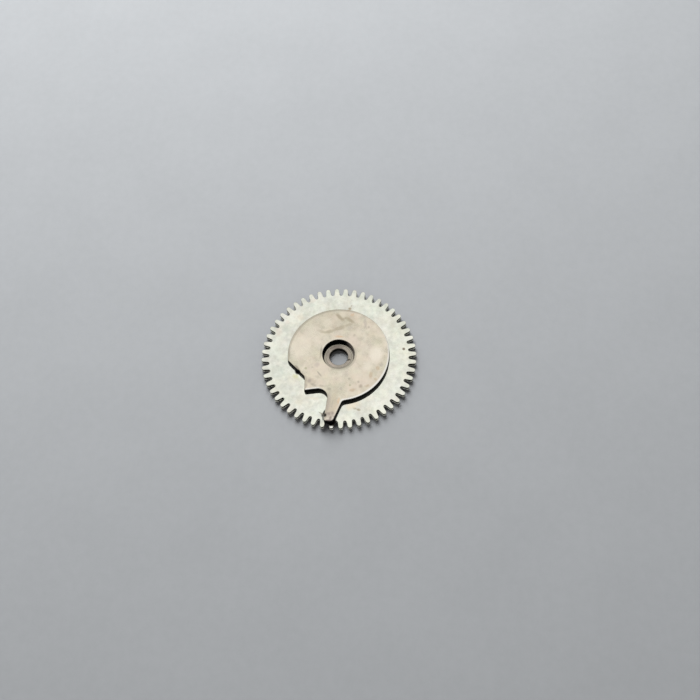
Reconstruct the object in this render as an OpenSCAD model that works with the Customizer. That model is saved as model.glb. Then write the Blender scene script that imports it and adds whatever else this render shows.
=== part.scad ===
// Day star driving wheel of a watch calendar: a thin toothed wheel, a finger plate
// riveted on top of it by its collar, and a bearing bush pressed into that collar.
// The origin is on the axis of turning, at the level of the face that the part lies on.
// Z is that axis, and the finger points along -Y, give or take finger_turn.

/* [Wheel] */
// Diameter over the teeth
wheel_d = 7.1; // [6.6:0.1:8.4]
// Number of teeth
teeth = 52; // [46:1:60]
// Height of a tooth above the pitch circle
addendum = 0.17; // [0.14:0.01:0.2]
// Depth of a gap below the pitch circle
dedendum = 0.19; // [0.16:0.01:0.22]
// Radius of the round end of a tooth
tooth_end_r = 0.1; // [0.08:0.005:0.11]
// Radius of the round floor of a gap
gap_floor_r = 0.07; // [0.05:0.005:0.08]
// Thickness of the toothed wheel
wheel_t = 0.2; // [0.15:0.01:0.3]

/* [Finger plate] */
// Thickness of the plate
plate_t = 0.28; // [0.2:0.01:0.35]
// Rim of the wheel left bare between the disc and the floors of the gaps
bare_rim = 0.88; // [0.7:0.02:1]
// How far the tip of the finger stays inside the tips of the teeth
finger_short = 0.23; // [0.05:0.01:0.3]
// Width of the finger at its tip
finger_w = 0.39; // [0.33:0.01:0.42]
// Distance of the drive face from the line that the finger points along
face_offset = 0.175; // [0.14:0.005:0.18]
// Slope of the back of the finger to its drive face
back_slope = 15; // [12:1:20]
// Radius of the corner between the tip and the drive face
face_corner_r = 0.1; // [0.05:0.01:0.12]
// Radius of the corner between the tip and the back
back_corner_r = 0.2; // [0.1:0.01:0.22]
// Turn of the finger from the tooth that lies under it
finger_turn = -2.9; // [-3.4:0.1:3.4]

/* [Recess and notch] */
// Depth of the recess beside the finger, from the edge of the disc
recess_depth = 0.62; // [0.5:0.02:0.7]
// Radius of the round corner between the recess and the finger
recess_corner_r = 0.42; // [0.2:0.02:0.5]
// Angle from the finger to the spur that stands between the recess and the notch
spur_turn = 32.6; // [30:0.2:36]
// Width of the end of the spur
spur_w = 0.05; // [0.02:0.01:0.1]
// Depth of the notch, from the edge of the disc
notch_depth = 0.44; // [0.2:0.01:0.5]
// Angle from the finger to the deepest corner of the notch
notch_turn = 46; // [43:0.5:50]
// Angle from the finger to the place where the notch runs out into the edge
notch_end_turn = 75; // [68:0.5:80]
// Radius of the round in the deepest corner of the notch
notch_corner_r = 0.25; // [0.1:0.01:0.3]

/* [Collar and bush] */
// Radius of the bore that turns on its post
bore_r = 0.42; // [0.35:0.01:0.44]
// Wall of the bush round that bore
bush_wall = 0.16; // [0.12:0.01:0.18]
// Chamfer on the edges of the bush and of its seat
bush_chamfer = 0.02; // [0.01:0.005:0.03]
// Radius of the recess in the plate that takes the head of the post
head_r = 0.735; // [0.7:0.005:0.85]
// Width of the V-shaped relief groove round the floor of that recess
groove_w = 0.06; // [0.03:0.005:0.07]
// Depth of the relief groove
groove_depth = 0.06; // [0.03:0.005:0.1]
// Wall of the collar, outside the recess for the head
collar_wall = 0.215; // [0.15:0.005:0.3]
// How far the riveted lip of the collar reaches under the wheel
lip_w = 0.1; // [0.05:0.01:0.15]
// Thickness of the riveted lip
lip_t = 0.05; // [0.04:0.01:0.08]
// Radial play between the collar and the wheel's middle hole
rivet_play = 0.005; // [0.005:0.005:0.02]

/* [Hidden] */
$fn = 96;

// A cut runs this far past the face that it opens
past = 0.5;

// Levels up the axis
wheel_z = lip_t;
plate_z = wheel_z + wheel_t;
top_z = plate_z + plate_t;

// Circles of the teeth. The module is the pitch diameter over the number of teeth, 0.13.
tip_r = wheel_d / 2;
pitch_r = tip_r - addendum;
root_r = pitch_r - dedendum;

// Circles of the plate, the collar and the bush
disc_r = root_r - bare_rim;
finger_reach = tip_r - finger_short;
bush_r = bore_r + bush_wall;
collar_r = head_r + collar_wall;
lip_r = collar_r + lip_w;

// Steps in the round end of a tooth, in the floor of a gap and in a rounded corner
end_steps = 6;
floor_steps = 4;
corner_steps = 8;

// Point at a radius and an angle
function polar(r, a) = [r * cos(a), r * sin(a)];

// Points of an arc about c, from angle a0 to angle a1
function arc(c, r, a0, a1, steps) =
    [for (i = [0 : steps]) c + polar(r, a0 + (a1 - a0) * i / steps)];

// Point p turned about the origin
function turned(p, a) = [p.x * cos(a) - p.y * sin(a), p.x * sin(a) + p.y * cos(a)];

// Point at a distance past p, on the way from a through p
function beyond(a, p, distance) = p + (p - a) / norm(p - a) * distance;

// Points of a round of radius r in place of corner p, between the sides towards a and b
function rounded(a, p, b, r) =
    let (
        u = (a - p) / norm(a - p),
        v = (b - p) / norm(b - p),
        half = acos(u * v) / 2,
        c = p + (u + v) / norm(u + v) * r / sin(half),
        from = p + u * r / tan(half) - c,
        to = p + v * r / tan(half) - c,
        a0 = atan2(from.y, from.x),
        sweep = (atan2(to.y, to.x) - a0 + 540) % 360 - 180
    )
    arc(c, r, a0, a0 + sweep, corner_steps);

// One tooth, on the X axis, with the gap that follows it. The flank is the straight line
// that touches the round end of the tooth and the round floor of the gap.
function tooth_points() =
    let (
        half_pitch = 180 / teeth,
        end_c = [tip_r - tooth_end_r, 0],
        floor_c = polar(root_r + gap_floor_r, half_pitch),
        way = floor_c - end_c,
        flank = atan2(way.y, way.x) - acos((tooth_end_r + gap_floor_r) / norm(way))
    )
    concat(
        arc(end_c, tooth_end_r, -flank, flank, end_steps),
        arc(floor_c, gap_floor_r, 180 + flank, 180 - flank + 2 * half_pitch, floor_steps)
    );

// Point of the plate's outline, from how far out along the finger and how far beside it
function beside_finger(out, side) = [side, -out];

// Point of the plate's outline, from its radius and its turn from the finger
function round_disc(r, turn) = polar(r, turn - 90);

// The finger: a straight drive face, a round-cornered tip and a sloping back, drawn
// from the middle of the disc
function finger_points() =
    let (
        face = -face_offset,
        back = finger_w - face_offset,
        inside = disc_r - recess_depth,
        tip_face = beside_finger(finger_reach, face),
        tip_back = beside_finger(finger_reach, back),
        root_face = beside_finger(inside, face),
        root_back = beside_finger(inside, back + (finger_reach - inside) * tan(back_slope))
    )
    concat(
        [root_face],
        rounded(root_face, tip_face, tip_back, face_corner_r),
        rounded(tip_face, tip_back, root_back, back_corner_r),
        [root_back]
    );

// The recess beside the finger: from the spur to a round corner at the drive face
function recess_points() =
    let (
        spur = round_disc(disc_r, -spur_turn + asin(spur_w / 2 / disc_r)),
        deep = beside_finger(disc_r - recess_depth, -face_offset),
        over_face = beside_finger(disc_r + past, -face_offset),
        over_spur = beyond(deep, spur, past)
    )
    concat(
        rounded(over_spur, deep, over_face, recess_corner_r),
        [over_face, over_face + over_spur - deep, over_spur]
    );

// The notch: two straight sides that meet in a round corner
function notch_points() =
    let (
        spur = round_disc(disc_r, -spur_turn - asin(spur_w / 2 / disc_r)),
        deep = round_disc(disc_r - notch_depth, -notch_turn),
        end = round_disc(disc_r, -notch_end_turn),
        over_spur = beyond(deep, spur, past),
        over_end = beyond(deep, end, past)
    )
    concat(
        rounded(over_end, deep, over_spur, notch_corner_r),
        [over_spur, over_spur + over_end - deep, over_end]
    );

module driving_wheel() {
    color([0.88, 0.89, 0.83])
    translate([0, 0, wheel_z])
    difference() {
        rotate(-90)
        linear_extrude(wheel_t)
        polygon([
            for (k = [0 : teeth - 1]) for (p = tooth_points()) turned(p, k * 360 / teeth)
        ]);
        translate([0, 0, -past])
        cylinder(r = collar_r + rivet_play, h = wheel_t + 2 * past);
    }
}

module plate_outline() {
    difference() {
        circle(r = disc_r);
        polygon(recess_points());
        polygon(notch_points());
    }
    polygon(finger_points());
}

// What is turned out of the plate: the seat of the bush with its chamfer, the recess for
// the head, and a relief groove round its floor. Each is a shape of its own, so the
// groove may run into the chamfer when the head is small.
module turned_recess() {
    rotate_extrude() {
        polygon([
            [0, -past],
            [bush_r, -past],
            [bush_r, plate_z - bush_chamfer],
            [bush_r + bush_chamfer, plate_z],
            [0, plate_z]
        ]);
        polygon([
            [0, plate_z],
            [head_r, plate_z],
            [head_r, top_z + past],
            [0, top_z + past]
        ]);
        polygon([
            [head_r - groove_w, plate_z],
            [head_r - groove_w / 2, plate_z - groove_depth],
            [head_r, plate_z]
        ]);
    }
}

module finger_plate() {
    color([0.82, 0.78, 0.71])
    difference() {
        union() {
            translate([0, 0, plate_z])
            rotate(finger_turn)
            linear_extrude(plate_t)
            plate_outline();
            translate([0, 0, lip_t])
            cylinder(r = collar_r, h = wheel_t + plate_t / 2);
            cylinder(r1 = lip_r - lip_t, r2 = lip_r, h = lip_t);
        }
        turned_recess();
    }
}

module hub_bush() {
    color([0.72, 0.69, 0.63])
    rotate_extrude()
    polygon([
        [bore_r, bush_chamfer],
        [bore_r + bush_chamfer, 0],
        [bush_r, 0],
        [bush_r, plate_z - bush_chamfer],
        [bush_r - bush_chamfer, plate_z],
        [bore_r + bush_chamfer, plate_z],
        [bore_r, plate_z - bush_chamfer]
    ]);
}

driving_wheel();
finger_plate();
hub_bush();
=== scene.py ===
import math

import bpy
import numpy as np
from bpy.props import FloatProperty, FloatVectorProperty, IntProperty, PointerProperty
from mathutils import Matrix, Vector


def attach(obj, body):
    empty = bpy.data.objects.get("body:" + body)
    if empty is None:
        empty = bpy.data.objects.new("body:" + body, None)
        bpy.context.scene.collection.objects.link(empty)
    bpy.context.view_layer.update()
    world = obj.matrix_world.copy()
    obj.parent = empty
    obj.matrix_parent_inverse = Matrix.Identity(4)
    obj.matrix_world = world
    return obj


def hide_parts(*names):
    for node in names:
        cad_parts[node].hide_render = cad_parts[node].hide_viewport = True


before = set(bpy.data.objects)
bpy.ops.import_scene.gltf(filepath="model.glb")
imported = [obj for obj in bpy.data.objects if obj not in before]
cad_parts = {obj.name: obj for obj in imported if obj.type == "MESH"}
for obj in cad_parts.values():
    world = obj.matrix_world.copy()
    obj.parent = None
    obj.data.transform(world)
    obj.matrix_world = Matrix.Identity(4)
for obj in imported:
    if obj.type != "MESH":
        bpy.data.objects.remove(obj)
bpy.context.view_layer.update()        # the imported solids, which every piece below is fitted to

bl_info = {
    "name": "Day Star Driving Wheel",
    "version": (1, 0, 0),
    "blender": (4, 5, 0),
    "location": "3D View > Sidebar > Driving Wheel",
    "description": "Toothed watch wheel with a riveted finger plate and a bush",
    "category": "Mesh",
}

BODY = "root"            # nothing on this part moves, so everything rides on one body
MM = 0.001
TURN = 2 * np.pi


# Settings

def length(name, millimetres, description):
    """A property that holds a length. The default is given here in millimetres."""
    return FloatProperty(
        name=name, description=description, default=millimetres * MM,
        min=0, precision=6, subtype="DISTANCE", unit="LENGTH")


def angle(name, degrees, description):
    """A property that holds an angle. The default is given here in degrees."""
    return FloatProperty(
        name=name, description=description, default=math.radians(degrees),
        subtype="ANGLE", unit="ROTATION")


def tint(name, colour, description):
    """A property that holds a linear colour."""
    return FloatVectorProperty(
        name=name, description=description, default=colour,
        min=0, max=1, size=3, subtype="COLOR")


class WheelSettings(bpy.types.PropertyGroup):
    """Sizes and colour of the toothed wheel"""
    teeth: IntProperty(
        name="Teeth", description="Number of teeth", default=52, min=12)
    tip: length("Tip radius", 3.55, "Radius over the teeth")
    root: length("Root radius", 3.19, "Radius to the floors of the gaps")
    end_round: length("Tooth end", 0.1, "Radius of the round end of a tooth")
    floor_round: length("Gap floor", 0.07, "Radius of the round floor of a gap")
    hole: length("Middle hole", 0.955, "Radius of the hole for the collar")
    low: length("Underside", 0.05, "Height of the wheel's underside")
    high: length("Top", 0.25, "Height of the wheel's top face")
    edge: length("Edge round", 0.016, "Radius of the round on the cut edges")
    metal: tint("Metal", (0.755, 0.761, 0.664), "Colour of the plated brass")


class PlateSettings(bpy.types.PropertyGroup):
    """Sizes and colour of the finger plate"""
    disc: length("Disc radius", 2.31, "Radius of the round part of the plate")
    reach: length("Finger reach", 3.32, "From the axis to the tip of the finger")
    finger_width: length("Finger width", 0.39, "Width of the finger at its tip")
    face_offset: length("Face offset", 0.175, "From the finger's line to its drive face")
    face_corner: length("Face corner", 0.1, "Radius of the corner of tip and drive face")
    back_corner: length("Back corner", 0.2, "Radius of the corner of tip and back")
    back_slope: angle("Back slope", 15, "Slope of the back of the finger")
    back_root: length("Back root", 0.2, "Radius of the bend between the back and the disc")
    finger_turn: angle("Finger turn", -2.9, "Turn of the finger from the tooth below it")
    recess_depth: length("Recess depth", 0.62, "Depth of the recess beside the finger")
    recess_corner: length("Recess corner", 0.42, "Radius of the corner of the recess")
    spur_turn: angle("Spur turn", 32.6, "Angle from the finger to the spur")
    spur_width: length("Spur width", 0.05, "Width of the end of the spur")
    notch_depth: length("Notch depth", 0.44, "Depth of the notch beyond the spur")
    notch_turn: angle("Notch turn", 46, "Angle from the finger to the notch's corner")
    notch_end: angle("Notch end", 75, "Angle from the finger to the notch's end")
    notch_corner: length("Notch corner", 0.25, "Radius of the corner of the notch")
    low: length("Underside", 0.25, "Height of the plate's underside")
    high: length("Top", 0.53, "Height of the plate's top face")
    edge: length("Rolled edge", 0.016, "Width of the edge that the punch rolled over")
    crown: length("Crown", 0.15, "Width of the rim that tumbling wore down")
    crown_drop: length("Crown drop", 0.008, "How far the rim falls towards the edge")
    flare: length("Flare", 0.02, "How far the sheared walls spread towards the wheel")
    recess: length("Head recess", 0.735, "Radius of the recess for the post's head")
    seat: length("Bush seat", 0.58, "Radius of the seat that the bush is pressed into")
    collar: length("Collar", 0.95, "Radius of the collar inside the wheel")
    lip: length("Riveted lip", 1.05, "Radius of the lip under the wheel")
    metal: tint("Metal", (0.738, 0.672, 0.541), "Colour of the tumbled steel")


class BushSettings(bpy.types.PropertyGroup):
    """Sizes and colour of the bush"""
    bore: length("Bore", 0.42, "Radius of the bore that turns on the post")
    outside: length("Outside", 0.58, "Radius of the bush in its seat")
    high: length("Top", 0.25, "Height of the top face of the bush")
    chamfer: length("Chamfer", 0.02, "Chamfer on the edges")
    metal: tint("Metal", (0.43, 0.385, 0.32), "Colour of the turned metal")


class StageSettings(bpy.types.PropertyGroup):
    """Table, light and camera"""
    table: tint("Table", (0.449, 0.457, 0.465), "Colour of the table")
    azimuth: angle("Azimuth", 10.95, "Where the camera stands round the axis")
    elevation: angle("Elevation", 63.794, "Height of the camera above the table")
    roll: angle("Roll", -5.976, "Turn of the camera about its own axis")
    distance: length("Distance", 50.81, "From the camera to the wheel's top face")
    lens: FloatProperty(
        name="Lens", description="Focal length of the camera", default=57.17,
        min=1, subtype="DISTANCE_CAMERA", unit="CAMERA")
    shift: FloatVectorProperty(
        name="Shift", description="Shift of the picture, in shares of its width",
        default=(0.01614, 0.00937), size=2)
    lamp_size: length("Lamp size", 75, "Side of the square lamp")
    lamp_distance: length("Lamp distance", 100, "From the lamp to the axis")
    lamp_turn: angle("Lamp turn", 8, "Turn of the lamp from the side across the camera")
    lamp_elevation: angle("Lamp elevation", 42, "Height of the lamp above the table")
    lamp_power: FloatProperty(
        name="Lamp power", description="Power of the lamp", default=0.146, min=0,
        precision=4, subtype="POWER", unit="POWER")


# Outlines, flat and seen from above

def turned(points, turn):
    """Points turned about the origin: (x cos t - y sin t, x sin t + y cos t)."""
    c, s = np.cos(turn), np.sin(turn)
    x, y = points[..., 0], points[..., 1]
    return np.stack([x * c - y * s, x * s + y * c], -1)


def arc(centre, radius, start, end, count):
    """Points on an arc: the centre plus radius times (cos a, sin a)."""
    a = np.linspace(start, end, count)
    return np.asarray(centre) + radius * np.stack([np.cos(a), np.sin(a)], -1)


def between(first, last, shares):
    """Points or rings on the straight way between two: the first plus shares of the way."""
    return first + np.multiply.outer(shares, last - first)


def rounded(before, corner, after, radius, count, hold=0.0):
    """The arc that replaces a corner.

    Its centre lies on the bisector, radius / sin(half the angle) from the corner, and
    it starts and ends radius / tan(half the angle) along the two sides. With a hold,
    one more point stands that far outside each end, on the side itself.
    """
    u = (before - corner) / np.linalg.norm(before - corner)
    v = (after - corner) / np.linalg.norm(after - corner)
    half = np.arccos(np.clip(u @ v, -1, 1)) / 2
    centre = corner + (u + v) / np.linalg.norm(u + v) * radius / np.sin(half)
    reach = radius / np.tan(half)
    start, end = corner + u * reach - centre, corner + v * reach - centre
    a = math.atan2(start[1], start[0])
    sweep = (math.atan2(end[1], end[0]) - a + np.pi) % TURN - np.pi
    points = arc(centre, radius, a, a + sweep, count)
    if hold:
        points = np.vstack([corner + u * (reach + hold), points,
                            corner + v * (reach + hold)])
    return points


def tooth_outline(s):
    """Outline of the toothed wheel and its outward normals, both (n, 2).

    A tooth on the X axis has a round end about (tip - end_round, 0). The floor of the
    gap is an arc about the point at root + floor_round, half a pitch on. The flank is
    the line that touches both, so its normal has the angle of the way between the two
    centres less acos((end_round + floor_round) / length of the way). On the floor the
    normal points at the arc's centre. The tooth is then repeated round the axis.
    """
    half = np.pi / s.teeth
    end_c = np.array([s.tip - s.end_round, 0.0])
    floor_c = (s.root + s.floor_round) * np.array([np.cos(half), np.sin(half)])
    way = floor_c - end_c
    flank = math.atan2(way[1], way[0]) - math.acos(
        (s.end_round + s.floor_round) / np.linalg.norm(way))
    end = arc(end_c, s.end_round, -flank, flank, 11)
    floor = arc(floor_c, s.floor_round, np.pi + flank, np.pi - flank + 2 * half, 9)
    quarters = [0.25, 0.5, 0.75]
    up = between(floor[-1], turned(end[0], 2 * half), quarters)
    down = between(end[-1], floor[0], quarters)
    tooth = np.vstack([end, down, floor, up])
    unit = lambda a: np.stack([np.cos(a), np.sin(a)], -1)
    normal = np.vstack([
        unit(np.linspace(-flank, flank, 11)),
        unit(np.full(3, flank)),
        -unit(np.linspace(np.pi + flank, np.pi - flank + 2 * half, 9)),
        unit(np.full(3, 2 * half - flank))])
    turns = np.arange(s.teeth)[:, None] * 2 * half - np.pi / 2
    return (turned(tooth[None], turns).reshape(-1, 2),
            turned(normal[None], turns).reshape(-1, 2))


def plate_corners(s):
    """Outline of the finger plate, counterclockwise, with the finger along -Y.

    The round disc runs from the back of the finger to the end of the notch. The notch
    is two straight sides with a round corner, the recess one round corner between the
    end of the spur and the straight face of the finger. The back of the finger is a
    line that leaves the tip at the back slope and meets the disc where
    side^2 + out^2 = disc^2. A small bend eases it into the disc there.
    """
    def beside(out, side):
        return np.array([side, -out])

    def on_disc(radius, turn):
        return radius * np.array([np.cos(turn - np.pi / 2), np.sin(turn - np.pi / 2)])

    face = -s.face_offset
    inside = s.disc - s.recess_depth
    slope = math.tan(s.back_slope)
    edge = s.finger_width - s.face_offset + s.reach * slope
    out = (edge * slope + math.sqrt(s.disc ** 2 * (1 + slope ** 2) - edge ** 2)) / (
        1 + slope ** 2)
    back = beside(out, edge - out * slope)
    tip_face, tip_back = beside(s.reach, face), beside(s.reach, face + s.finger_width)
    deep = beside(inside, face)
    half_spur = math.asin(s.spur_width / 2 / s.disc)
    spur_far = on_disc(s.disc, -s.spur_turn - half_spur)
    spur_near = on_disc(s.disc, -s.spur_turn + half_spur)
    notch = on_disc(s.disc - s.notch_depth, -s.notch_turn)
    end = on_disc(s.disc, -s.notch_end)
    bend = rounded(tip_back, back, back + turned(back, np.pi / 2), s.back_root, 13)
    start_a = math.atan2(bend[-1][1], bend[-1][0])
    end_a = math.atan2(end[1], end[0]) + TURN
    return np.vstack([
        bend,
        arc((0, 0), s.disc, start_a, end_a, 241)[1:],
        rounded(end, notch, spur_far, s.notch_corner, 17),
        spur_far, spur_near,
        rounded(spur_near, deep, beside(s.disc, face), s.recess_corner, 17),
        rounded(deep, tip_face, tip_back, s.face_corner, 17),
        rounded(tip_face, tip_back, back, s.back_corner, 17)])


def read_off(values, along, at):
    """Rows of a closed outline, given at places along it, read off at other places."""
    closed = np.vstack([values, values[:1]])
    return np.stack([np.interp(at, along, column) for column in closed.T], -1)


def even_steps(points, count):
    """Points at equal steps along a closed outline, and how long it is."""
    ways = np.diff(np.vstack([points, points[:1]]), axis=0)
    along = np.append(0, np.cumsum(np.linalg.norm(ways, axis=1)))
    return read_off(points, along, np.arange(count) / count * along[-1]), along[-1]


def softened(values, width, step):
    """A closed row of values, blurred by a bell curve of that width, through its spectrum."""
    waves = np.fft.fftfreq(len(values), step)
    bell = np.exp(-2 * (np.pi * waves * width) ** 2)
    return np.fft.ifft(np.fft.fft(values, axis=0) * (
        bell[:, None] if values.ndim > 1 else bell), axis=0).real


TUMBLED = 0.014 * MM      # blur that tumbling gives the sharp corners of the plate
BEND_BLUR = 0.01 * MM     # blur of the curvature
ROLL_BLUR = 0.02 * MM     # blur of the width of the rolled edge


def plate_outline(s):
    """Outline of the finger plate, its outward normals and the width of its rolled edge.

    The sharp corners are tumbled round by the blur. Points stand close together where
    the outline bends: their number per millimetre is 30 plus 7 times the curvature.
    At a bend outwards the rolled edge is never wider than the bend's own radius.
    """
    fine = 6000
    points, around = even_steps(plate_corners(s), fine)
    step = around / fine
    points = softened(points, TUMBLED, step)
    slope = (np.roll(points, -1, 0) - np.roll(points, 1, 0)) / (2 * step)
    slope /= np.linalg.norm(slope, axis=1)[:, None]
    heading = np.unwrap(np.arctan2(slope[:, 1], slope[:, 0]))
    bend = np.gradient(np.append(heading, heading[0] + TURN))[:-1] / step
    bend = softened(bend, BEND_BLUR, step)
    normal = np.stack([slope[:, 1], -slope[:, 0]], -1)
    widest = 0.85 / np.maximum(bend, 1e-9)
    roll = np.minimum(s.edge, softened(np.minimum(widest, s.edge), ROLL_BLUR, step))
    density = 30 / MM + 7 * np.abs(bend)
    total = np.concatenate([[0], np.cumsum(density)]) * step
    at = np.arange(int(total[-1])) / int(total[-1]) * total[-1]
    where = np.interp(at, total, np.arange(fine + 1))
    pick = lambda values: read_off(values, np.arange(fine + 1), where)
    normal = pick(normal)
    normal /= np.linalg.norm(normal, axis=1)[:, None]
    return (turned(pick(points), s.finger_turn), turned(normal, s.finger_turn),
            pick(roll[:, None])[:, 0])


# Surfaces made of rings

def circle_rings(angles, profile):
    """One ring for each (radius, height) of a profile: (r cos a, r sin a, z)."""
    r, z = profile[:, 0, None], profile[:, 1, None]
    return np.stack([r * np.cos(angles), r * np.sin(angles),
                     np.broadcast_to(z, (len(profile), len(angles)))], -1)


def outline_rings(outline, normal, inset, height):
    """One ring for each inset and height: the outline less inset times its normal."""
    inset = np.atleast_2d(inset)
    flat = outline[None] - inset[..., None] * normal[None]
    height = np.broadcast_to(np.atleast_2d(height), flat.shape[:2])
    return np.concatenate([flat, height[..., None]], -1)


def edge_profile(width, steps, hold):
    """Insets and drops of a quarter round edge, from the flat face to the wall.

    Inset = width (1 - sin t) and drop = width (1 - cos t), for t from 0 to a quarter
    turn, with one more row a little before and after it so that the flats stay flat.
    """
    t = np.linspace(0, np.pi / 2, steps + 1)
    inset = np.concatenate([[width + hold], width * (1 - np.sin(t)), [0.0]])
    drop = np.concatenate([[0.0], width * (1 - np.cos(t)), [width + hold]])
    return inset, drop


def profile_line(corners, hold=0.004 * MM):
    """A profile through corners given as (radius, height, round), in millimetres.

    The two end corners only give the way in and out. Every other corner is replaced
    by its arc.
    """
    spots = [np.array(c[:2]) * MM for c in corners]
    return np.vstack([
        rounded(spots[k - 1], spots[k], spots[k + 1], corners[k][2] * MM, 5, hold)
        for k in range(1, len(corners) - 1)])


def ring_mesh(name, rings):
    """A closed surface from rings that are joined to each other, the last to the first.

    rings is (rows, columns, 3). Each face joins two neighbours on a ring with the same
    two on the next. The volume, a sixth of the sum of the triple products of the
    faces' halves, tells whether the faces point outwards.
    """
    rows, columns = rings.shape[:2]
    spots = np.ascontiguousarray(rings.reshape(-1, 3), dtype=np.float64)
    here = np.arange(rows * columns).reshape(rows, columns)
    above = np.roll(here, -1, 0)
    quads = np.stack([here, np.roll(here, -1, 1), np.roll(above, -1, 1), above],
                     -1).reshape(-1, 4)
    a, b, c, d = (spots[quads[:, k]] for k in range(4))
    volume = (np.einsum("ij,ij->i", a, np.cross(b, c))
              + np.einsum("ij,ij->i", a, np.cross(c, d))).sum()
    if volume < 0:
        quads = quads[:, ::-1]
    mesh = bpy.data.meshes.new(name)
    mesh.vertices.add(len(spots))
    mesh.vertices.foreach_set("co", spots.ravel())
    mesh.loops.add(quads.size)
    mesh.loops.foreach_set("vertex_index", quads.ravel().astype(np.int32))
    mesh.polygons.add(len(quads))
    mesh.polygons.foreach_set("loop_start", np.arange(0, quads.size, 4, dtype=np.int32))
    mesh.polygons.foreach_set("use_smooth", np.ones(len(quads), dtype=bool))
    mesh.update(calc_edges=True)
    mesh.validate()
    piece = bpy.data.objects.new(name, mesh)
    bpy.context.scene.collection.objects.link(piece)
    return piece


def stand_for(piece, node, material):
    """Gives a piece its finish, puts it on the body and lets it stand for a solid."""
    piece.data.materials.append(material)
    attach(piece, BODY)
    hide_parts(node)


# Shader helpers

def feed(tree, socket, value):
    """Gives an input its value, or links it to an output."""
    if isinstance(value, bpy.types.NodeSocket):
        tree.links.new(value, socket)
    else:
        socket.default_value = value


def feed_all(tree, node, **inputs):
    """Feeds inputs by their labels, which are written with low lines for spaces."""
    for label, value in inputs.items():
        feed(tree, node.inputs[label.replace("_", " ")], value)


def add(tree, kind, settings=None, **inputs):
    """Adds a shader node. Inputs are named i0, i1 and so on, and are values or sockets."""
    node = tree.nodes.new("ShaderNode" + kind)
    for key, value in (settings or {}).items():
        setattr(node, key, value)
    for key, value in inputs.items():
        feed(tree, node.inputs[int(key[1:])], value)
    return node


def maths(tree, operation, first, second=0.0, third=0.0):
    """One sum of two or three numbers."""
    return add(tree, "Math", {"operation": operation},
               i0=first, i1=second, i2=third).outputs[0]


def product(tree, *numbers):
    """The product of two or more numbers."""
    result = numbers[0]
    for number in numbers[1:]:
        result = maths(tree, "MULTIPLY", result, number)
    return result


def dot(tree, first, second):
    """The dot product of two vectors."""
    return add(tree, "VectorMath", {"operation": "DOT_PRODUCT"},
               i0=first, i1=second).outputs["Value"]


def length_of(tree, x, y):
    """The length of a flat vector: sqrt(x^2 + y^2)."""
    return maths(tree, "SQRT", maths(tree, "ADD", product(tree, x, x), product(tree, y, y)))


def ramp(tree, value, low, high, out_low=0.0, out_high=1.0):
    """Smooth step of a value between two limits."""
    return add(tree, "MapRange", {"interpolation_type": "SMOOTHSTEP"},
               i0=value, i1=low, i2=high, i3=out_low, i4=out_high).outputs[0]


def own_place(tree):
    """The point in the piece's own coordinates."""
    return add(tree, "TexCoord").outputs["Object"]


def apart(tree, vector):
    """The three numbers of a vector."""
    return add(tree, "SeparateXYZ", i0=vector).outputs


def rgba(colour):
    """A colour with full opacity."""
    return (*colour[:3], 1.0)


def mixed(tree, share, first, second, blend="MIX"):
    """Mix of two colours by a share."""
    node = add(tree, "Mix", {"data_type": "RGBA", "blend_type": blend},
               i0=share, i6=first, i7=second)
    return node.outputs[2]


def shaded(tree, share, colour, darker, lighter):
    """A colour between two multiples of itself, by a share."""
    low, high = (rgba([min(1.0, c * factor) for c in colour]) for factor in (darker, lighter))
    return mixed(tree, share, low, high)


def group(name, inputs, outputs, colours=()):
    """A new shader node group, the sockets of its inputs and the node of its outputs.

    The inputs are numbers, given as labels with defaults. The outputs are given as
    labels of numbers, then labels of colours.
    """
    tree = bpy.data.node_groups.new(name, "ShaderNodeTree")
    for label, default in inputs.items():
        socket = tree.interface.new_socket(
            label, in_out="INPUT", socket_type="NodeSocketFloat")
        socket.default_value = default
    for labels, kind in ((outputs, "NodeSocketFloat"), (colours, "NodeSocketColor")):
        for label in labels:
            tree.interface.new_socket(label, in_out="OUTPUT", socket_type=kind)
    return tree, tree.nodes.new("NodeGroupInput").outputs, tree.nodes.new("NodeGroupOutput")


GROUPS = {}


def place(tree, maker, **inputs):
    """Places a shared node group, which is made the first time it is asked for."""
    if maker not in GROUPS:
        GROUPS[maker] = maker()
    node = tree.nodes.new("ShaderNodeGroup")
    node.node_tree = GROUPS[maker]
    feed_all(tree, node, **inputs)
    return node.outputs


# Shared effects

NEAR_RIGHT = (0.766, -0.643, 0)     # level, 40 degrees towards -Y from +X


def faces_group():
    """Tells walls and sloped edges from flat faces, by the normal.

    Wall is a step of the size of the normal's z. Edge and Far are steps of the normal's
    part towards the near right side: Edge where it leans that way, Far where it leans
    the other way. Both leave out the walls. The finishes paint shade on the walls and on
    Far, and a highlight on Edge.
    """
    tree, _, out = group("Faces", {}, ["Wall", "Edge", "Far"])
    normal = add(tree, "NewGeometry").outputs["Normal"]
    up = apart(tree, normal)["Z"]
    lean = dot(tree, normal, NEAR_RIGHT)
    sloped_up = ramp(tree, up, 0.2, 0.5)
    feed_all(tree, out,
             Wall=ramp(tree, maths(tree, "ABSOLUTE", up), 0.50, 0.22),
             Edge=product(tree, ramp(tree, lean, 0.025, 0.07), sloped_up),
             Far=product(tree, ramp(tree, lean, -0.004, -0.045), sloped_up))
    return tree


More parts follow.
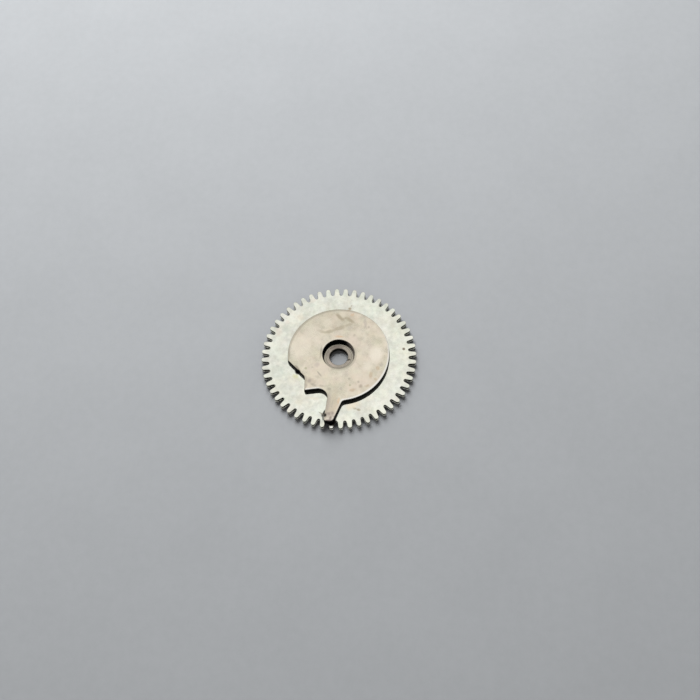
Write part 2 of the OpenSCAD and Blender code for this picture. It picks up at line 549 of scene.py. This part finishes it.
def mottle_group():
    """Uneven satin surface: broad blotches, finer mottling and grain.

    Each layer is a noise on the piece's own coordinates, with three channels about
    zero. Shade is the weighted sum of the first channels, and Height that of the finer
    layers alone. The sum of the second channels, warm, and that of the third, green,
    make the Tint (1 + warm - green / 2, 1 + green, 1 - warm - green / 2).
    """
    tree, given, out = group(
        "Mottle", {"Blotch Size": 0.9 * MM, "Mottle Size": 0.18 * MM, "Grain Size": 0.04 * MM,
                   "Seed": 0.0, "Warmth": 0.0, "Greenness": 0.0},
        ["Shade", "Blotch", "Height"], ["Tint"])
    spot = own_place(tree)
    layers = []
    for label, detail in (("Blotch Size", 2.0), ("Mottle Size", 3.0), ("Grain Size", 2.0)):
        scale = maths(tree, "DIVIDE", 1.0, given[label])
        noise = add(tree, "TexNoise", {"noise_dimensions": "4D"},
                    i0=spot, i1=given["Seed"], i2=scale, i3=detail, i4=0.55)
        centred = add(tree, "VectorMath", {"operation": "SUBTRACT"},
                      i0=noise.outputs[1], i1=(0.5, 0.5, 0.5)).outputs[0]
        layers.append(apart(tree, centred))
    blotch, mottle, grain = layers
    fine = maths(tree, "MULTIPLY_ADD", grain[0], 0.25, mottle[0])
    warm = product(tree, maths(tree, "ADD", blotch[1], mottle[1]), given["Warmth"])
    green = product(tree, maths(tree, "ADD", blotch[2], mottle[2]), given["Greenness"])
    less = maths(tree, "MULTIPLY_ADD", green, -0.5, 1.0)
    tone = add(tree, "CombineColor", i0=maths(tree, "ADD", less, warm),
               i1=maths(tree, "ADD", 1.0, green), i2=maths(tree, "SUBTRACT", less, warm))
    feed_all(tree, out, Shade=maths(tree, "MULTIPLY_ADD", blotch[0], 0.8, fine),
             Blotch=blotch[0], Height=fine, Tint=tone.outputs[0])
    return tree


def spot_group():
    """A soft-edged mark: 1 in its middle, 0 outside.

    The point, less the centre and turned back by the mark's turn, is divided by the
    half length and half width. A noise moves it a little, and its length fades from 1
    to 0 across the rim. It works on single numbers: with vectors, a material with many
    marks came out black.
    """
    tree, given, out = group(
        "Spot", {"Centre X": 0.0, "Centre Y": 0.0, "Half Length": 0.1 * MM,
                 "Half Width": 0.1 * MM, "Turn": 0.0, "Raggedness": 0.5,
                 "Ragged Size": 0.1 * MM}, ["Mask"])
    spot = own_place(tree)
    parts = apart(tree, spot)
    noise = add(tree, "TexNoise", {"noise_dimensions": "3D"}, i0=spot,
                i2=maths(tree, "DIVIDE", 1.0, given["Ragged Size"]), i3=2.0)
    wave = add(tree, "SeparateColor", i0=noise.outputs[1]).outputs
    x = maths(tree, "SUBTRACT", parts[0], given["Centre X"])
    y = maths(tree, "SUBTRACT", parts[1], given["Centre Y"])
    c = maths(tree, "COSINE", given["Turn"])
    s = maths(tree, "SINE", given["Turn"])
    along = maths(tree, "ADD", product(tree, x, c), product(tree, y, s))
    across = maths(tree, "SUBTRACT", product(tree, y, c), product(tree, x, s))
    shares = []
    for way, half, shift in ((along, "Half Length", wave[0]), (across, "Half Width", wave[1])):
        moved = product(tree, maths(tree, "SUBTRACT", shift, 0.5), given["Raggedness"])
        shares.append(maths(tree, "ADD", maths(tree, "DIVIDE", way, given[half]), moved))
    feed_all(tree, out, Mask=ramp(tree, length_of(tree, *shares), 1.1, 0.35))
    return tree


def turned_rings_group():
    """Fine rings left by a lathe: a noise along the distance from the axis alone."""
    tree, given, out = group("Turned Rings", {"Pitch": 0.02 * MM}, ["Ring"])
    parts = apart(tree, own_place(tree))
    radius = length_of(tree, parts[0], parts[1])
    noise = add(tree, "TexNoise", {"noise_dimensions": "1D"},
                i1=maths(tree, "DIVIDE", radius, given["Pitch"]), i2=1.0, i3=2.0)
    feed_all(tree, out, Ring=maths(tree, "SUBTRACT", noise.outputs[0], 0.5))
    return tree


# Finishes

RAGGED_SIZE = 0.12 * MM     # size of the noise that makes the marks' rims ragged

# Tones of the marks: stains and dirt, and also painted shade, painted light and painted
# highlights
MARK_TONES = {
    "dust_and_shade": (0.34, 0.31, 0.26), "umber": (0.24, 0.20, 0.15), "brown": (0.50, 0.36, 0.22),
    "tan": (0.38, 0.32, 0.22), "rust": (0.76, 0.52, 0.33), "rosy": (0.66, 0.55, 0.47),
    "plum": (0.44, 0.38, 0.36), "olive": (0.46, 0.45, 0.33), "moss": (0.32, 0.35, 0.20),
    "sage": (0.66, 0.66, 0.36), "stone": (0.48, 0.48, 0.44), "cream": (0.82, 0.72, 0.55),
    "blush": (0.82, 0.70, 0.60), "light": (0.90, 0.83, 0.70), "pale": (0.98, 0.96, 0.90),
    "grime_and_shade": (0.15, 0.11, 0.10), "black": (0.012, 0.009, 0.007),
}
# Painted shade and light: the walls' tones, the lighter side of the recess wall, the rim's
# highlight and its shade on the far side
WHEEL_WALL_SHADE = (0.024, 0.024, 0.020)
PLATE_WALL_SHADE = (0.002, 0.002, 0.002)
RECESS_SIDE_LIGHT = (0.37, 0.33, 0.29)
RIM_HIGHLIGHT = (0.95, 0.95, 0.93)
RIM_SHADE = (0.42, 0.39, 0.31)
ROSY_BLOTCH = (0.76, 0.65, 0.55)
MOSSY_BLOTCH = (0.70, 0.68, 0.52)

# Marks on the wheel: place and half sizes in hundredths of a millimetre, turn in
# degrees, raggedness and share in hundredths, and name of the tone. Some are stains,
# some painted shadow, shade or highlight
WHEEL_MARKS = [
    (293, 61, 9, 9, 0, 30, 100, "umber"),  # dot at the right
    (96, -251, 13, 7, -15, 70, 60, "tan"),  # two tan spots
    (114, -256, 11, 8, -17, 70, 75, "tan"),
    (85, -231, 42, 22, 18, 80, 60, "cream"),
    (74, -250, 25, 17, 26, 80, 45, "cream"),
    (154, -198, 32, 19, 26, 80, 25, "cream"),
    (-185, -114, 18, 14, -17, 80, 65, "sage"),
    (-168, -129, 11, 10, 0, 80, 25, "sage"),
    (-197, -136, 27, 35, 0, 80, 25, "cream"),
    (-95, -216, 36, 8, 0, 80, 35, "cream"),
    (-158, -240, 23, 20, 0, 80, 25, "cream"),
    (-274, -69, 11, 7, 0, 80, 40, "stone"),
    (-242, -51, 14, 10, 0, 80, 25, "stone"),
    (28, 251, 10, 10, 0, 60, 85, "tan"),  # by the far edge
    (34, 266, 4, 8, -18, 80, 45, "tan"),
    (-19, 328, 7, 5, 0, 80, 50, "stone"),
    (-289, 105, 19, 26, 0, 90, 40, "blush"),
    (-255, 158, 14, 16, 0, 90, 30, "blush"),
    (-151, 280, 24, 13, 38, 90, 30, "blush"),
    (-197, 188, 23, 26, 0, 90, 30, "cream"),
    (-275, 30, 45, 130, 0, 60, 10, "stone"),
    (-195, -175, 60, 75, 0, 60, 12, "stone"),
    (-40, -294, 14, 13, 0, 25, 88, "black"),  # beside the tip: painted shadow of the finger with some grime, and grey painted shade on the tooth
    (-38, -280, 6, 15, -11, 40, 95, "black"),
    (-50, -287, 17, 4, -25, 50, 60, "umber"),
    (-46, -328, 10, 14, 0, 70, 45, "stone"),
    (-40, -310, 5, 16, 10, 50, 80, "black"),
    (1, -331, 26, 23, 0, 40, 100, "black"),  # under the tip: painted shadow of the finger
    (10, -321, 15, 22, 0, 60, 100, "black"),
    # a painted highlight on the end of the tooth under the tip
    (2, -350, 9, 7, 0, 30, 75, "pale"),
    (-182, -94, 16, 10, -45, 30, 100, "black"),  # by the notch
]

# Marks on the finger plate, in the same form
PLATE_MARKS = [
    (-30, 175, 110, 60, 5, 40, 10, "tan"),  # painted shade on the far side
    (-12, 188, 32, 11, -43, 50, 66, "tan"),  # zigzag scratch
    (10, 182, 15, 8, 40, 60, 42, "tan"),
    (36, 177, 32, 11, -31, 50, 60, "tan"),
    (34, 152, 22, 10, 26, 80, 38, "tan"),  # long wavy line
    (-5, 133, 40, 13, 24, 80, 46, "tan"),
    (-50, 112, 32, 13, 20, 80, 44, "tan"),
    (-92, 109, 28, 10, -14, 80, 40, "tan"),
    (-54, 109, 30, 10, 6, 80, 35, "olive"),
    (17, 164, 28, 21, 15, 80, 25, "olive"),
    (-66, 155, 35, 29, 0, 60, 35, "light"),  # pale and rosy patches
    (-157, 99, 21, 31, 0, 90, 35, "rosy"),
    (-116, 125, 18, 31, 0, 80, 25, "rosy"),
    (-170, -33, 16, 15, 0, 90, 40, "rosy"),
    (-92, -62, 16, 15, 37, 90, 35, "plum"),
    (108, 165, 10, 31, 10, 80, 35, "plum"),
    (125, 146, 7, 8, 0, 80, 35, "dust_and_shade"),
    (64, 100, 9, 8, 0, 80, 30, "dust_and_shade"),
    (38, 134, 18, 16, 0, 90, 25, "plum"),
    (-226, -4, 5, 33, 8, 60, 45, "dust_and_shade"),  # painted shade along the left edge
    (-77, -106, 22, 5, -47, 50, 55, "dust_and_shade"),  # scratch low left
    (-141, -83, 8, 8, 0, 60, 50, "moss"),  # dots
    (-111, -76, 6, 6, 0, 60, 25, "dust_and_shade"),
    (-118, -144, 14, 10, 68, 90, 50, "plum"),  # stains beside the recess
    (-97, -163, 19, 9, -22, 90, 40, "dust_and_shade"),
    (-128, -168, 7, 12, 0, 90, 40, "plum"),
    (-60, -165, 18, 8, -7, 90, 30, "dust_and_shade"),
    (-25, -178, 12, 10, 37, 70, 42, "dust_and_shade"),
    (28, -173, 8, 9, 0, 90, 40, "plum"),  # stains low right
    (67, -152, 8, 8, 0, 80, 50, "moss"),
    (80, -175, 22, 10, 15, 90, 45, "brown"),
    (115, -153, 12, 11, 47, 80, 42, "umber"),
    (103, -132, 7, 7, 0, 90, 40, "dust_and_shade"),
    (59, -121, 8, 7, 0, 90, 35, "dust_and_shade"),
    (143, -149, 14, 8, 26, 90, 35, "brown"),
    (156, -94, 11, 24, 0, 90, 45, "brown"),
    (179, -113, 10, 9, 0, 90, 40, "brown"),
    (183, -59, 12, 14, 0, 90, 45, "brown"),
    (199, -40, 11, 12, 0, 90, 40, "plum"),
    (173, -77, 18, 22, 0, 90, 25, "olive"),
    (26, 233, 10, 10, 0, 50, 70, "brown"),  # at the far edge
    (-4, 88, 22, 7, 0, 60, 60, "rust"),  # over the recess
    (45, 205, 12, 11, 0, 80, 40, "rust"),
    (171, 10, 39, 56, -9, 40, 85, "light"),  # a painted pool of light on the right side, then bright patches
    (137, -53, 28, 32, -28, 60, 50, "light"),
    (-176, 20, 60, 75, 0, 50, 48, "light"),
    (-96, 47, 28, 41, 27, 70, 25, "light"),
    (-129, 100, 50, 50, 0, 80, 35, "light"),
    # painted shade along the left rim of the recess
    (-80, 2, 7, 38, 0, 50, 40, "umber"),
    (-110, -146, 34, 22, -20, 90, 25, "umber"),
    (-179, -86, 22, 10, -45, 70, 60, "umber"),  # by the notch: painted shade along its edge, then a black spot
    (-171, -99, 13, 8, -45, 40, 100, "black"),
    (-2, -260, 34, 85, -2, 50, 26, "brown"),  # the finger
    (23, -232, 8, 19, -6, 80, 50, "rust"),
    (-19, -242, 12, 62, -2, 60, 38, "plum"),
    (-3, -248, 5, 22, -4, 80, 30, "plum"),
    (-6, -302, 27, 24, 0, 80, 42, "plum"),
    (-15, -297, 10, 10, 0, 90, 35, "grime_and_shade"),
    (2, -293, 8, 9, 0, 90, 30, "grime_and_shade"),
    (-5, -319, 6, 12, 0, 90, 50, "grime_and_shade"),
    (11, -313, 6, 11, -27, 90, 50, "grime_and_shade"),
    (-3, -326, 25, 10, 0, 60, 50, "plum"),
    # two painted highlights on the tip
    (-15, -323, 5, 5, 0, 60, 45, "light"),
    (7, -315, 5, 6, 0, 60, 50, "light"),
    (-12, -329, 20, 5, 0, 80, 80, "grime_and_shade"),
    (-32, -305, 12, 12, 0, 25, 100, "black"),
]

# Marks on the bush: painted shade on the far side of its top, and a dot beside the bore
BUSH_MARKS = [
    (-15, 47, 50, 16, 15, 70, 55, "grime_and_shade"),
    (-48, 12, 12, 24, 0, 60, 30, "grime_and_shade"),
    (47, -13, 11, 6, 12, 70, 75, "black"),
    (-32, -42, 30, 14, -37, 70, 45, "rosy"),
]


def with_marks(tree, colour, marks):
    """Lays marks over a colour, one after the other."""
    for *sizes, turn, ragged, share, mark_tone in marks:
        x, y, long, wide = (size / 100 * MM for size in sizes)
        mask = place(tree, spot_group, Centre_X=x, Centre_Y=y, Half_Length=long,
                     Half_Width=wide, Turn=math.radians(turn), Raggedness=ragged / 100,
                     Ragged_Size=RAGGED_SIZE)["Mask"]
        colour = mixed(tree, product(tree, mask, share / 100), colour, rgba(MARK_TONES[mark_tone]))
    return colour


def bumped(tree, height, distance):
    """The normal of a surface with a height, given in units of the distance."""
    bump = add(tree, "Bump", i0=1.0, i1=distance)
    feed_all(tree, bump, Height=height)
    return bump.outputs[0]


def new_material(name):
    """A material, its tree and its Principled shader."""
    material = bpy.data.materials.new(name)
    material.use_nodes = True
    tree = material.node_tree
    return material, tree, tree.nodes["Principled BSDF"]


def wheel_finish(s):
    """Plated brass: pale, finely mottled, with a few stains. Painted shade makes the cut
    walls almost black, and painted shadow and a highlight lie by the finger's tip.
    """
    material, tree, shader = new_material("wheel_metal")
    wall = place(tree, faces_group)["Wall"]
    mottle = place(tree, mottle_group, Blotch_Size=0.8 * MM, Mottle_Size=0.22 * MM,
                   Grain_Size=0.05 * MM, Seed=3.0, Warmth=0.08, Greenness=0.06)
    colour = shaded(tree, ramp(tree, mottle["Shade"], -0.35, 0.35), s.metal, 0.84, 1.14)
    colour = mixed(tree, 1.0, colour, mottle["Tint"], "MULTIPLY")
    colour = with_marks(tree, colour, WHEEL_MARKS)
    # Painted shade: the walls almost black
    colour = mixed(tree, wall, colour, rgba(WHEEL_WALL_SHADE))
    rough = ramp(tree, mottle["Shade"], -0.3, 0.3, 0.05, 0.11)
    feed_all(tree, shader,
             Base_Color=colour,
             Metallic=maths(tree, "SUBTRACT", 1.0, wall),
             Roughness=maths(tree, "ADD", rough, product(tree, wall, 0.2)),
             Specular_IOR_Level=0.05,
             Normal=bumped(tree, mottle["Height"], 0.001 * MM))
    return material


def plate_finish(s):
    """Tumbled steel: warm grey, mottled, scratched, stained, with walls painted black as shade.

    The broad blotches are rosy or mossy. The rim has a painted highlight where it leans
    towards the near right side, most of all round the disc, and painted shade on the far
    side. The marks lie over that; some of them are painted shade and some painted light.
    The turned floor of the recess is smoother than the top, and painted shade makes it
    darker. Painted shade makes black all walls, the V-shaped groove round that floor, the
    far part of the floor's outer ring, and the lower part of the outer walls, where they
    spread. Only the right side of the recess wall is lighter, as painted light.
    """
    material, tree, shader = new_material("plate_metal")
    faces = place(tree, faces_group)
    mottle = place(tree, mottle_group, Blotch_Size=0.8 * MM, Mottle_Size=0.30 * MM,
                   Grain_Size=0.07 * MM, Seed=11.0, Warmth=0.08, Greenness=0.055)
    x, y, height = apart(tree, own_place(tree))
    radius = length_of(tree, x, y)

    colour = shaded(tree, ramp(tree, mottle["Shade"], -0.40, 0.40), s.metal, 0.74, 1.24)
    colour = mixed(tree, 1.0, colour, mottle["Tint"], "MULTIPLY")
    rosy = ramp(tree, mottle["Blotch"], -0.02, 0.16, 0.0, 0.45)
    colour = mixed(tree, rosy, colour, rgba(ROSY_BLOTCH))
    mossy = ramp(tree, mottle["Blotch"], -0.02, -0.16, 0.0, 0.35)
    colour = mixed(tree, mossy, colour, rgba(MOSSY_BLOTCH))

    # Painted highlight on the rim that leans towards the near right side, most round the disc,
    # and painted shade on the rim of the far side
    disc = product(tree, ramp(tree, radius, 1.0 * MM, 1.3 * MM),
                   ramp(tree, radius, s.disc + 0.24 * MM, s.disc + 0.04 * MM))
    rim = product(tree, faces["Edge"], maths(tree, "MULTIPLY_ADD", disc, 0.45, 0.15))
    colour = mixed(tree, rim, colour, rgba(RIM_HIGHLIGHT))
    colour = mixed(tree, product(tree, faces["Far"], 0.54), colour, rgba(RIM_SHADE))
    colour = with_marks(tree, colour, PLATE_MARKS)

    # Painted shade of the recess: its floor darker
    floor = ramp(tree, height, s.low + 0.15 * MM, s.low + 0.05 * MM)
    colour = mixed(tree, floor, colour, rgba([c * 0.48 for c in s.metal]))
    # Painted shade: black on the far part of the floor's outer ring, in the groove round the
    # floor and on the spread foot of the outer walls, as on all walls
    ring = product(
        tree, ramp(tree, radius, s.recess - 0.115 * MM, s.recess - 0.075 * MM), floor,
        ramp(tree, y, -0.2 * MM, 0.3 * MM))
    groove = product(tree, ramp(tree, height, s.low - 0.0005 * MM, s.low - 0.01 * MM),
                     ramp(tree, height, s.low - 0.15 * MM, s.low - 0.10 * MM))
    foot = product(
        tree, ramp(tree, height, s.low - 0.01 * MM, s.low + 0.01 * MM),
        ramp(tree, height, s.high - 0.05 * MM, s.high - 0.09 * MM),
        ramp(tree, radius, s.recess + 0.065 * MM, s.recess + 0.115 * MM))
    black = faces["Wall"]
    for mask in (groove, ring, foot):
        black = maths(tree, "MAXIMUM", black, mask)
    # Painted light: the right side of the recess wall is lighter
    side = product(tree, ramp(tree, x, 0.22 * MM, 0.55 * MM),
                   ramp(tree, radius, s.recess + 0.115 * MM, s.recess + 0.065 * MM))
    dark = mixed(tree, side, rgba(PLATE_WALL_SHADE), rgba(RECESS_SIDE_LIGHT))
    rough = ramp(tree, mottle["Shade"], -0.3, 0.3, 0.24, 0.36)
    rough = maths(tree, "SUBTRACT", rough, product(tree, floor, 0.18))
    feed_all(tree, shader,
             Base_Color=mixed(tree, black, colour, dark),
             Metallic=maths(tree, "SUBTRACT", 1.0, black),
             Roughness=maths(tree, "ADD", rough, product(tree, black, 0.4)),
             Specular_IOR_Level=0.05,
             Normal=bumped(tree, mottle["Height"], 0.005 * MM))
    return material


def bush_finish(s):
    """Turned metal: fine rings round the bore, a dark dot, and painted shade on the far
    side of its top and on its walls.
    """
    material, tree, shader = new_material("bush_metal")
    ring = place(tree, turned_rings_group, Pitch=0.012 * MM)["Ring"]
    mottle = place(tree, mottle_group, Mottle_Size=0.1 * MM, Grain_Size=0.03 * MM, Seed=23.0)
    shade = ramp(tree, maths(tree, "ADD", ring, mottle["Height"]), -0.4, 0.4)
    colour = shaded(tree, shade, s.metal, 0.8, 1.15)
    colour = with_marks(tree, colour, BUSH_MARKS)
    wall = place(tree, faces_group)["Wall"]
    # Painted shade: the walls dark
    feed_all(tree, shader,
             Base_Color=mixed(tree, wall, colour, rgba([c * 0.12 for c in s.metal])),
             Metallic=1.0, Roughness=0.34, Normal=bumped(tree, ring, 0.002 * MM))
    return material


def table_finish(s):
    """A pale matt table with a faint grain."""
    material, tree, shader = new_material("table")
    mottle = place(tree, mottle_group, Blotch_Size=3 * MM, Mottle_Size=0.4 * MM,
                   Grain_Size=0.1 * MM, Seed=5.0)
    shade = ramp(tree, mottle["Shade"], -0.6, 0.6)
    feed_all(tree, shader, Base_Color=shaded(tree, shade, s.table, 0.96, 1.04),
             Roughness=0.75, Specular_IOR_Level=0.25)
    return material


# The sky. Its edges are cosines, where the light or patch starts and where it is full.

SKY_MIDDLE = math.radians(78)       # elevation of its brightest part, on the far side
SKY_EDGES = (0.70, 1.0)
SKY_FULL = 1.05                     # light in that part
SKY_GLOSS, SKY_MATT = 0.52, 0.30    # light away from it, for gloss and for matt surfaces
HOLDER_EDGES = (0.93, 0.985)
HOLDER_LIGHT = 0.10                 # share of the light left in the dark patch
MATT_HEIGHTS = (0.3, 0.9)           # sines of elevation, for the share of matt surfaces
MATT_SHARES = (1.35, 0.05)          # that share low down and overhead
BACKDROP = (0.48, 0.49, 0.50)       # what the camera itself sees beyond the table


def towards(azimuth, elevation):
    """The way to a point of the sky. Azimuth counts from -Y, counterclockwise."""
    level = math.cos(elevation)
    return Vector((math.sin(azimuth) * level, -math.cos(azimuth) * level, math.sin(elevation)))


# Operators

class DrivingWheelStage(bpy.types.Operator):
    """Makes the table, the light and the camera"""
    bl_idname = "driving_wheel.stage"
    bl_label = "Table, Light and Camera"

    def execute(self, context):
        s = context.scene.driving_wheel_stage
        self.table(context, s)
        self.sky(context, s)
        self.lamp(context, s)
        self.camera(context, s)
        context.scene.view_settings.view_transform = "Standard"
        return {"FINISHED"}

    def table(self, context, s, half=1.0, cells=4):
        """A flat square grid at the level that the part lies on."""
        across = np.linspace(-half, half, cells + 1)
        x, y = np.meshgrid(across, across, indexing="ij")
        spots = np.stack([x, y, np.zeros_like(x)], -1).reshape(-1, 3)
        step, row = np.arange(cells), cells + 1
        first = (step[:, None] * row + step).reshape(-1, 1)
        quads = first + np.array([0, row, row + 1, 1])
        mesh = bpy.data.meshes.new("table")
        mesh.from_pydata(spots.tolist(), [], quads.tolist())
        mesh.materials.append(table_finish(s))
        top = bpy.data.objects.new("table", mesh)
        context.scene.collection.objects.link(top)

    def sky(self, context, s):
        """A pale sky that is brightest overhead, a little towards the far side.

        The light is a smooth step of the cosine between the way and the middle of the
        bright part, times one of the cosine between the way and the camera: a round dark
        patch stands for the camera and its holder. Matt surfaces get most of their light
        from low down, so that the table's tone and the metal's gloss are set apart.
        """
        world = bpy.data.worlds.new("sky")
        context.scene.world = world
        world.use_nodes = True
        tree = world.node_tree
        way = add(tree, "TexCoord").outputs["Generated"]
        path = add(tree, "LightPath").outputs
        matt = path["Is Diffuse Ray"]
        far = dot(tree, way, towards(s.azimuth + math.pi, SKY_MIDDLE))
        near = dot(tree, way, towards(s.azimuth, s.elevation))
        low_down = maths(tree, "MULTIPLY_ADD", matt, SKY_MATT - SKY_GLOSS, SKY_GLOSS)
        share = ramp(tree, apart(tree, way)["Z"], *MATT_HEIGHTS, *MATT_SHARES)
        light = product(
            tree, ramp(tree, far, *SKY_EDGES, low_down, SKY_FULL),
            ramp(tree, near, *HOLDER_EDGES, 1.0, HOLDER_LIGHT),
            maths(tree, "MULTIPLY_ADD", matt, maths(tree, "SUBTRACT", share, 1.0), 1.0))
        grey = add(tree, "CombineColor", i0=light, i1=light, i2=light).outputs[0]
        feed_all(tree, tree.nodes["Background"],
                 Color=mixed(tree, path["Is Camera Ray"], grey, rgba(BACKDROP)))

    def lamp(self, context, s):
        """A soft square lamp on the far side. Gloss doesn't show it, only shadows do."""
        lamp = bpy.data.lights.new("lamp", "AREA")
        lamp.shape = "SQUARE"
        lamp.size = s.lamp_size
        lamp.energy = s.lamp_power
        lamp.color = (0.96, 0.98, 1.0)
        rig = bpy.data.objects.new("lamp", lamp)
        way = towards(s.azimuth + math.pi + s.lamp_turn, s.lamp_elevation)
        rig.location = way * s.lamp_distance
        rig.rotation_mode = "QUATERNION"
        rig.rotation_quaternion = way.to_track_quat("Z", "Y")
        rig.visible_glossy = False
        context.scene.collection.objects.link(rig)

    def camera(self, context, s):
        """The camera stands off the middle of the wheel's top face."""
        data = bpy.data.cameras.new("camera")
        data.sensor_width = 36
        data.lens = s.lens
        data.shift_x, data.shift_y = s.shift
        data.clip_start = 0.001
        data.clip_end = 10
        eye = bpy.data.objects.new("camera", data)
        back = towards(s.azimuth, s.elevation)
        turn = back.to_track_quat("Z", "Y").to_matrix() @ Matrix.Rotation(s.roll, 3, "Z")
        aim = Vector((0, 0, context.scene.driving_wheel_wheel.high))
        eye.matrix_world = Matrix.Translation(aim + back * s.distance) @ turn.to_4x4()
        context.scene.collection.objects.link(eye)
        context.scene.camera = eye


class DrivingWheelWheel(bpy.types.Operator):
    """Makes the toothed wheel"""
    bl_idname = "driving_wheel.wheel"
    bl_label = "Toothed Wheel"

    def execute(self, context):
        s = context.scene.driving_wheel_wheel
        outline, normal = tooth_outline(s)
        angles = np.unwrap(np.arctan2(outline[:, 1], outline[:, 0]))
        hole, low, high = s.hole / MM, s.low / MM, s.high / MM
        inner = circle_rings(angles, profile_line([
            (hole + 0.5, high, 0), (hole, high, 0.01), (hole, low, 0.01),
            (hole + 0.5, low, 0)]))
        inset, drop = edge_profile(s.edge, 4, 0.003 * MM)
        top_edge = outline_rings(outline, normal, inset[:, None], s.high - drop[:, None])
        low_edge = outline_rings(outline, normal, inset[:, None], s.low + drop[:, None])[::-1]
        inside = s.root - 0.06 * MM     # a ring of points just inside the gaps
        root = circle_rings(angles, np.array([[inside, s.high], [inside, s.low]]))
        rings = np.concatenate([
            inner,
            between(inner[-1], root[1], [0.25, 0.5, 0.75, 1.0]),
            between(root[1], low_edge[0], [0.5]),
            low_edge,
            between(low_edge[-1], top_edge[-1], [0.33, 0.67]),
            top_edge[::-1],
            between(top_edge[0], root[0], [0.5]),
            between(root[0], inner[0], [0.0, 0.25, 0.5, 0.75])])
        piece = ring_mesh("toothed_wheel", rings)
        stand_for(piece, "driving_wheel", wheel_finish(s))
        return {"FINISHED"}


class DrivingWheelPlate(bpy.types.Operator):
    """Makes the finger plate with its collar and riveted lip"""
    bl_idname = "driving_wheel.plate"
    bl_label = "Finger Plate"

    def execute(self, context):
        s = context.scene.driving_wheel_plate
        outline, normal, roll = plate_outline(s)
        angles = np.unwrap(np.arctan2(outline[:, 1], outline[:, 0]))
        recess, seat, collar, lip = (v / MM for v in (s.recess, s.seat, s.collar, s.lip))
        low, high = s.low / MM, s.high / MM
        inner = circle_rings(angles, profile_line([
            (recess + 0.5, high, 0),
            (recess + 0.12, high, 0.2),  # worn rim of the recess
            (recess + 0.06, high - 0.002, 0.2),
            (recess, high - 0.007, 0.02),
            (recess, low, 0.004),  # groove round its floor
            (recess - 0.03, low - 0.06, 0.008),
            (recess - 0.06, low, 0.008),
            (seat + 0.005, low, 0.002),  # seat of the bush
            (seat, low - 0.005, 0.002),
            (seat, 0.0, 0.012),
            (lip - 0.05, 0.0, 0.022),  # riveted lip
            (lip, 0.05, 0.006),
            (collar, 0.05, 0.004),  # collar
            (collar, low, 0.004),
            (collar + 0.5, low, 0)], hold=0.002 * MM))
        hold = 0.004 * MM
        t = np.linspace(0, np.pi / 2, 6)[:, None]
        inset = np.vstack([roll[None] + hold, roll[None] * (1 - np.sin(t))])
        drop = np.vstack([roll[None] * 0, roll[None] * (1 - np.cos(t))])
        top_edge = outline_rings(outline, normal, inset, s.high - drop)
        top = np.concatenate([
            outline_rings(outline, normal, 0.0, s.high - roll - hold),
            top_edge[::-1],
            between(top_edge[0], inner[0],
                    [0.015, 0.03, 0.045, 0.06, 0.08, 0.1, 0.2, 0.35, 0.5, 0.7, 0.9, 0.97])])
        top[..., 2] -= self.wear(s, top[..., :2], outline)
        cut, lift = edge_profile(0.01 * MM, 2, 0.003 * MM)
        low_edge = outline_rings(
            outline, normal, cut[:, None] - s.flare, s.low + lift[:, None])
        rings = np.concatenate([
            inner,
            between(inner[-1], low_edge[0], [0.25, 0.5, 0.75]),
            low_edge,
            between(low_edge[-1], top[0], [0.33, 0.67]),
            top])
        piece = ring_mesh("finger_plate_top", rings)
        stand_for(piece, "finger_plate", plate_finish(s))
        return {"FINISHED"}

    def wear(self, s, spots, outline):
        """How far tumbling wore the top down: crown drop (1 - distance / crown)^2, from
        the distance to the nearest point of the outline, and nothing beyond the crown."""
        far = np.stack([
            np.sqrt(((row[:, None] - outline[None]) ** 2).sum(-1).min(1)) for row in spots])
        return s.crown_drop * np.clip(1 - far / s.crown, 0, 1) ** 2


class DrivingWheelBush(bpy.types.Operator):
    """Makes the bush round the bore"""
    bl_idname = "driving_wheel.bush"
    bl_label = "Bush"

    def execute(self, context):
        s = context.scene.driving_wheel_bush
        angles = np.linspace(0, TURN, 241)[:-1]
        bore, out, high, cut = (v / MM for v in (s.bore, s.outside, s.high, s.chamfer))
        corners = [
            (bore + cut, high, 0.004), (bore, high - cut, 0.004), (bore, cut, 0.004),
            (bore + cut, 0.0, 0.004), (out, 0.0, 0.004), (out, high - 0.005, 0.002),
            (out - 0.005, high, 0.002)]
        rings = circle_rings(angles, profile_line(
            [corners[-1], *corners, corners[0]], hold=0.002 * MM))
        piece = ring_mesh("bore_bush", rings)
        stand_for(piece, "hub_bush", bush_finish(s))
        return {"FINISHED"}


class DrivingWheelPanel(bpy.types.Panel):
    """Lists the operators in the 3D view's sidebar"""
    bl_idname = "VIEW3D_PT_driving_wheel"
    bl_label = "Driving Wheel"
    bl_space_type = "VIEW_3D"
    bl_region_type = "UI"
    bl_category = "Driving Wheel"

    def draw(self, context):
        for operator, _, name in STEPS:
            box = self.layout.box()
            box.operator(operator.bl_idname)
            settings = getattr(context.scene, name)
            for key in settings.__annotations__:
                box.prop(settings, key)


STEPS = [
    (DrivingWheelStage, StageSettings, "driving_wheel_stage"),
    (DrivingWheelWheel, WheelSettings, "driving_wheel_wheel"),
    (DrivingWheelPlate, PlateSettings, "driving_wheel_plate"),
    (DrivingWheelBush, BushSettings, "driving_wheel_bush"),
]


def register():
    for operator, settings, name in STEPS:
        bpy.utils.register_class(settings)
        setattr(bpy.types.Scene, name, PointerProperty(type=settings))
        bpy.utils.register_class(operator)
    bpy.utils.register_class(DrivingWheelPanel)


def unregister():
    bpy.utils.unregister_class(DrivingWheelPanel)
    for operator, settings, name in STEPS:
        bpy.utils.unregister_class(operator)
        delattr(bpy.types.Scene, name)
        bpy.utils.unregister_class(settings)


def main():
    register()
    for operator, _, _ in STEPS:
        area, name = operator.bl_idname.split(".")
        getattr(getattr(bpy.ops, area), name)()


if __name__ == "__main__":
    main()
